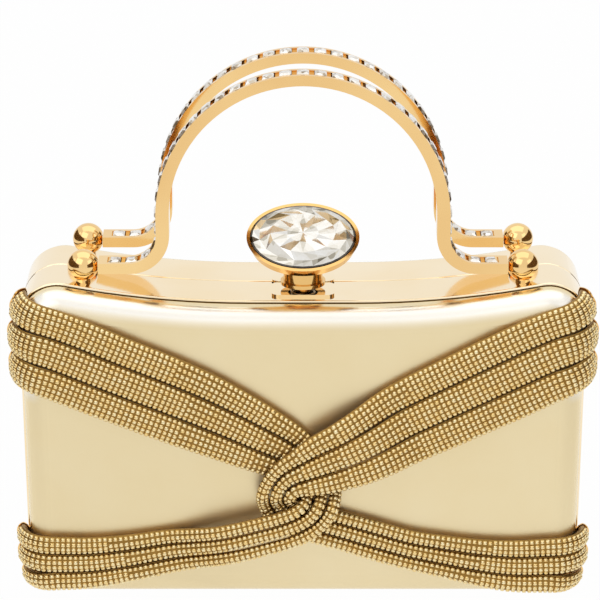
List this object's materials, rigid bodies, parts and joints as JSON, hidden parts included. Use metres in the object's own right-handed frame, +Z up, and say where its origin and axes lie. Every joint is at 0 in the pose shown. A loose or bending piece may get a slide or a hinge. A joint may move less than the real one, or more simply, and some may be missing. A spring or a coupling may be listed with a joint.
{
  "type": "hard evening bag",
  "caption": "Hard box evening bag with a saddle-shaped top, two arched stone-set handles, a push-down stone clasp and interlocked mesh cords over its faces.",
  "frame": {"origin": "middle of the base, on the ground, in the seam plane", "axes": "+Z up; the front faces -Y; +X to the right seen from the front"},
  "size_m": [0.168, 0.0658, 0.1547],
  "materials": {
    "frame_gold": "polished, pale gold plated",
    "gold": "polished, gold plated",
    "clasp_gold": "polished, rich gold plated",
    "leather": "metallic champagne, glossy",
    "shell": "moulded",
    "lining": "satin",
    "mesh_cord": "beaded metal mesh over a soft core",
    "stones": "faceted, foiled",
    "large_stone": "faceted, foiled",
    "spring_steel": "drawn wire"
  },
  "bodies": {
    "back_half": {"back_frame": "frame_gold", "back_shell": "shell", "back_leather_cover": "leather", "back_lining": "lining", "back_left_loop_cord_1": "mesh_cord", "back_left_loop_cord_2": "mesh_cord", "back_left_loop_cord_3": "mesh_cord", "back_right_loop_cord_1": "mesh_cord", "back_right_loop_cord_2": "mesh_cord", "back_right_loop_cord_3": "mesh_cord", "back_cord_end_caps": "gold", "back_left_ball_post": "gold", "back_left_ball": "gold", "back_right_ball_post": "gold", "back_right_ball": "gold", "back_post_screws": "gold", "back_hinge_rivets": "gold", "back_hinge_leaf": "gold", "hinge_pin": "gold", "catch_plate": "gold", "catch_keeper": "gold"},
    "front_half": {"front_frame": "frame_gold", "front_shell": "shell", "front_leather_cover": "leather", "front_lining": "lining", "front_left_loop_cord_1": "mesh_cord", "front_left_loop_cord_2": "mesh_cord", "front_left_loop_cord_3": "mesh_cord", "front_right_loop_cord_1": "mesh_cord", "front_right_loop_cord_2": "mesh_cord", "front_right_loop_cord_3": "mesh_cord", "front_cord_end_caps": "gold", "front_left_ball_post": "gold", "front_left_ball": "gold", "front_right_ball_post": "gold", "front_right_ball": "gold", "front_post_screws": "gold", "front_hinge_rivets": "gold", "front_hinge_leaf": "gold", "clasp_plate": "gold", "clasp_spring": "spring_steel"},
    "front_handle": {"front_handle_bar": "gold", "front_handle_stones": "stones", "front_handle_pivot_pins": "gold"},
    "back_handle": {"back_handle_bar": "gold", "back_handle_stones": "stones", "back_handle_pivot_pins": "gold"},
    "clasp": {"clasp_neck": "gold", "clasp_bezel": "clasp_gold", "clasp_stone": "large_stone", "clasp_hook": "gold"}
  },
  "joints": [
    {"name": "front_half_hinge", "type": "hinge", "parent": "back_half", "child": "front_half", "pos_m": [0, 0, 0.0016], "axis": [1, 0, 0], "range_deg": [0, 50]},
    {"name": "front_handle_pivot", "type": "hinge", "parent": "front_half", "child": "front_handle", "pos_m": [0, -0.012, 0.0978], "axis": [1, 0, 0], "range_deg": [-6, 112]},
    {"name": "back_handle_pivot", "type": "hinge", "parent": "back_half", "child": "back_handle", "pos_m": [0, 0.012, 0.0978], "axis": [1, 0, 0], "range_deg": [-112, 6]},
    {"name": "clasp_press", "type": "slide", "parent": "front_half", "child": "clasp", "axis": [0, 0, 1], "range_m": [-0.001, 0], "stiffness_N_per_m": 400, "springref_m": 0.002, "deforming": ["clasp_spring"]}
  ]
}
